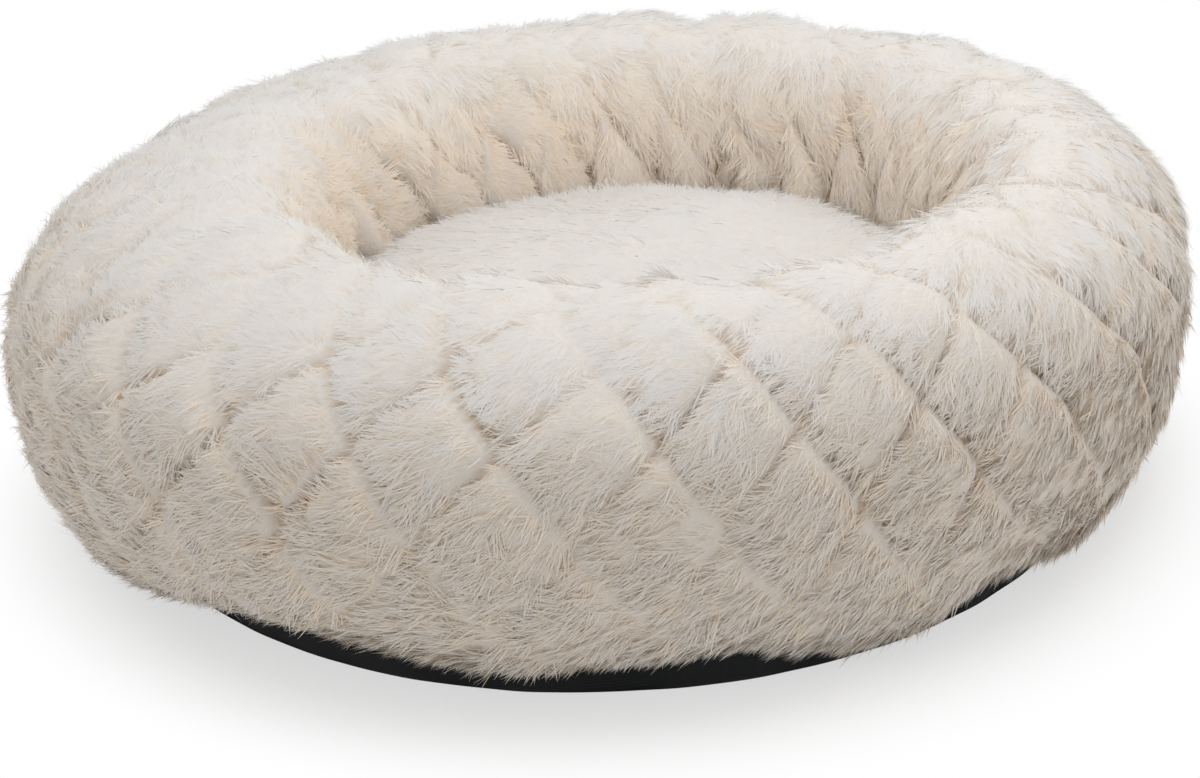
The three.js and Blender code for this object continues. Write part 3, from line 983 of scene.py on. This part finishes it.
def base_point(angle, step):
    outline = np.array(base_outline())
    steps = np.arange(len(outline))
    radius = np.interp(step, steps, outline[:, 0])
    height = np.interp(step, steps, outline[:, 1])
    fine, coarse = (round_noise(angle, 0 * step, *noise) for noise in rim_noises)
    ripple = rim_ripple * (0.6 * fine + 0.9 * coarse) * off_zip(angle)
    rim = smooth_step(*rim_steps, step)
    radius = radius + (ripple * rim - rim_draw * rim)
    return np.stack([radius * np.cos(angle), radius * np.sin(angle), height + 0 * angle], -1)


def add_base():
    black = cloth_material("black_base_cloth", base_colours, base_thread, roughness=0.9, sheen=0)
    columns, rows = base_grid
    mesh = swept("base_cloth", base_point, columns, np.linspace(0, len(base_outline()) - 1, rows))
    piece = add_object("base_cloth", mesh, black, "bed")
    solid = piece.modifiers.new("thickness", "SOLIDIFY")
    solid.thickness = base_thickness
    solid.offset = -1
    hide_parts("base_panel")


# Nest floor

def well_point(angle, step):
    radius = (nest_radius - well_edge_gap) * step + well_start
    x = nest_middle.x + radius * np.cos(angle)
    y = nest_middle.y + radius * np.sin(angle)
    wrinkle = plan_noise(x, y, wrinkle_size, wrinkle_seed)
    return np.stack([x, y, well_high.z - well_drop + well_wrinkle * wrinkle], -1)


def add_well_floor():
    columns, rows = well_grid
    mesh = swept("well_floor_cloth", well_point, columns, np.linspace(0, 1, rows))
    piece = add_object("well_floor_cloth", mesh, lining, "bed")
    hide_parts("well_floor_panel", "base_pad")


# Cushion

def cushion_under_point(angle, step):
    """A point of the cushion's underside, from its middle at 0 to its foot at 1."""
    foot = cushion_point(angle, 0 * angle)
    middle = np.array([cushion_middle.x, cushion_middle.y, foot[..., 2].min()])
    place = middle + (foot - middle) * step[..., None]
    place[..., 2] = place[..., 2] + underside_lift * (1 - step ** 2)
    return place


def add_cushion():
    columns, rows = cushion_grid
    mesh = swept("cushion_skin", cushion_point, columns, np.linspace(0, cushion_end, rows))
    skin = add_object("cushion_skin", mesh, backing, "cushion")
    columns, rows = underside_grid
    steps = np.linspace(underside_start, 1, rows)
    mesh = swept("cushion_underside", cushion_under_point, columns, steps)
    under = add_object("cushion_underside", mesh, lining, "cushion")
    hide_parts("cushion_cover_top", "cushion_cover_base", "cushion_filling")
    coat = {
        "name": "cushion_fur", "point_at": cushion_point, "form_at": cushion_point,
        "span": cushion_fur_span, "flow_at": cushion_flow, "length_at": cushion_length,
        "lift_at": cushion_lift, "bend": strand_bend, "hang_at": no_hang, "clear_at": all_clear,
        "tint_and_shade_at": cushion_tint_and_shade, "width_share": cushion_width_share,
    }
    for piece in add_coat(coat, cushion_clumps, cushion_seed, cushion_sectors, fur, "cushion"):
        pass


# Ring

def add_ring():
    columns, rows = ring_grid
    alongs = np.linspace(0, ring_end, rows)
    mesh = swept("ring_skin", ring_skin, columns, alongs)
    skin = add_object("ring_skin", mesh, backing, "bed")
    store_seam_shade(mesh, columns, alongs)
    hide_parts("ring_cover", "ring_quilt_wadding", "ring_quilt_lining", "ring_filling")
    coat = {
        "name": "ring_fur", "point_at": ring_skin, "form_at": ring_form, "span": ring_fur_span,
        "flow_at": ring_flow, "length_at": ring_length, "lift_at": ring_lift, "bend": strand_bend,
        "hang_at": ring_hang, "clear_at": ring_clear, "tint_and_shade_at": ring_tint_and_shade, "width_share": 1.0,
    }
    for piece in add_coat(coat, ring_clumps, ring_seed, ring_sectors, fur, "bed"):
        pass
    fringe = {
        **coat, "name": "ring_fringe", "span": fringe_span, "length_at": fringe_length_at,
        "hang_at": fringe_hang, "clear_at": all_clear,
    }
    for piece in add_coat(fringe, fringe_clumps, fringe_seed, fringe_sectors, fur, "bed"):
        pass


# Zip

def paint_zip():
    tape = cloth_material("zip_tape_cloth", tape_colours, tape_thread, roughness=0.9, sheen=0)
    teeth, tree, shader = new_material("zip_coil_plastic", roughness=0.38, specular=0.5)
    place = node(tree, "ShaderNodeTexCoord")
    grain = node(tree, "ShaderNodeTexNoise", Scale=700.0, Detail=3.0)
    tree.links.new(place.outputs["Object"], grain.inputs["Vector"])
    colour = ramp(tree, grain.outputs["Fac"], zip((0.3, 0.8), teeth_colours))
    tree.links.new(colour, shader.inputs["Base Color"])
    bump(tree, grain.outputs["Fac"], shader, strength=0.2, distance=grain_height)
    metal = metal_material("zip_gunmetal", metal_colours, roughness=0.32)
    for name in ("zip_tape_lower", "zip_tape_upper"):
        paint_node(name, tape)
    for name in ("zip_teeth_lower", "zip_teeth_upper"):
        paint_node(name, teeth)
    for name in ("zip_bottom_stop", "zip_top_stop", "zip_slider", "zip_pull"):
        paint_node(name, metal)


# Camera, lights and floor

def add_camera():
    out = Vector((0, -math.cos(camera_rise), math.sin(camera_rise)))
    level = Vector((1, 0, 0))
    above = level.cross(-out)
    right = level * math.cos(camera_roll) + above * math.sin(camera_roll)
    up = above * math.cos(camera_roll) - level * math.sin(camera_roll)
    ahead = -out
    ahead = ahead - right * ((aim_pixel[0] - photo_width / 2) / focal_pixels)
    ahead = ahead - up * ((photo_height / 2 - aim_pixel[1]) / focal_pixels)
    ahead.normalize()
    right = (right - ahead * right.dot(ahead)).normalized()
    up = right.cross(ahead)
    data = bpy.data.cameras.new("camera")
    data.sensor_width = sensor_width
    data.lens = sensor_width * focal_pixels / photo_width
    data.clip_start = camera_nearest
    camera = bpy.data.objects.new("camera", data)
    bpy.context.scene.collection.objects.link(camera)
    turned = Matrix((right, up, -ahead)).transposed()
    place = Vector((0, 0, aim_height)) + out * camera_distance
    camera.matrix_world = Matrix.Translation(place) @ turned.to_4x4()
    bpy.context.scene.camera = camera


def seen_directly(tree):
    """1 for what the camera sees, straight or through a reflection or glass."""
    path = node(tree, "ShaderNodeLightPath")
    total = path.outputs["Is Camera Ray"]
    for name in ("Is Glossy Ray", "Is Transmission Ray"):
        either = node(tree, "ShaderNodeMath", operation="MAXIMUM")
        tree.links.new(total, either.inputs[0])
        tree.links.new(path.outputs[name], either.inputs[1])
        total = either.outputs[0]
    return total


def add_world():
    world = bpy.data.worlds.new("studio")
    bpy.context.scene.world = world
    world.use_nodes = True
    tree = world.node_tree
    background = tree.nodes["Background"]
    background.inputs["Color"].default_value = (1, 1, 1, 1)
    place = node(tree, "ShaderNodeTexCoord")
    parts = node(tree, "ShaderNodeSeparateXYZ")
    tree.links.new(place.outputs["Generated"], parts.inputs[0])
    sky = node(tree, "ShaderNodeMapRange")
    sky.inputs["To Min"].default_value = side_level
    sky.inputs["To Max"].default_value = top_level
    tree.links.new(parts.outputs[2], sky.inputs["Value"])
    level = node(tree, "ShaderNodeMix")
    tree.links.new(seen_directly(tree), level.inputs[0])
    tree.links.new(sky.outputs[0], level.inputs[2])
    level.inputs[3].default_value = 1
    tree.links.new(level.outputs[0], background.inputs["Strength"])


def add_key_light():
    data = bpy.data.lights.new("key", "AREA")
    data.energy = key_energy
    data.size = key_size
    light = bpy.data.objects.new("key", data)
    bpy.context.scene.collection.objects.link(light)
    light.location = key_place
    light.rotation_euler = (-key_place).to_track_quat("-Z", "Y").to_euler()


def grey_diffuse(tree, grey):
    return node(tree, "ShaderNodeBsdfDiffuse", Color=(grey, grey, grey, 1)).outputs[0]


def mix_shaders(tree, factor, first, second):
    made = node(tree, "ShaderNodeMixShader")
    for place, link in enumerate((factor, first, second)):
        tree.links.new(link, made.inputs[place])
    return made.outputs[0]


def floor_material():
    """A pale floor that keeps the shadow, and seen from far off is the white background."""
    material = bpy.data.materials.new("pale_floor")
    material.use_nodes = True
    tree = material.node_tree
    tree.nodes.remove(tree.nodes["Principled BSDF"])
    glow = node(tree, "ShaderNodeEmission", Strength=floor_lift)
    lifted = node(tree, "ShaderNodeAddShader")
    tree.links.new(grey_diffuse(tree, seen_floor_grey), lifted.inputs[0])
    tree.links.new(glow.outputs[0], lifted.inputs[1])
    white = node(tree, "ShaderNodeEmission", Strength=1.0)
    place = node(tree, "ShaderNodeNewGeometry")
    reach = node(tree, "ShaderNodeVectorMath", operation="LENGTH")
    tree.links.new(place.outputs["Position"], reach.inputs[0])
    fade = node(tree, "ShaderNodeMapRange", interpolation_type="SMOOTHSTEP")
    fade.inputs["From Min"].default_value = fade_start
    fade.inputs["From Max"].default_value = fade_end
    tree.links.new(reach.outputs["Value"], fade.inputs["Value"])
    faded = mix_shaders(tree, fade.outputs[0], lifted.outputs[0], white.outputs[0])
    either = mix_shaders(tree, seen_directly(tree), grey_diffuse(tree, floor_grey), faded)
    tree.links.new(either, tree.nodes["Material Output"].inputs["Surface"])
    return material


def add_floor():
    half = floor_size / 2
    corners = [(-half, -half, 0), (half, -half, 0), (half, half, 0), (-half, half, 0)]
    mesh = bpy.data.meshes.new("floor")
    mesh.from_pydata(corners, [], [(0, 1, 2, 3)])
    mesh.materials.append(floor_material())
    floor = bpy.data.objects.new("floor", mesh)
    bpy.context.scene.collection.objects.link(floor)


bpy.context.scene.view_settings.view_transform = "Standard"
backing = short_pile_material("fur_short_pile", skin_colours, seam_shade_colour)
fur = fur_material()
lining = cloth_material("cream_lining_cloth", lining_colours, lining_thread)
add_camera()
add_world()
add_key_light()
add_floor()
add_ring()
add_base()
add_well_floor()
add_cushion()
paint_zip()
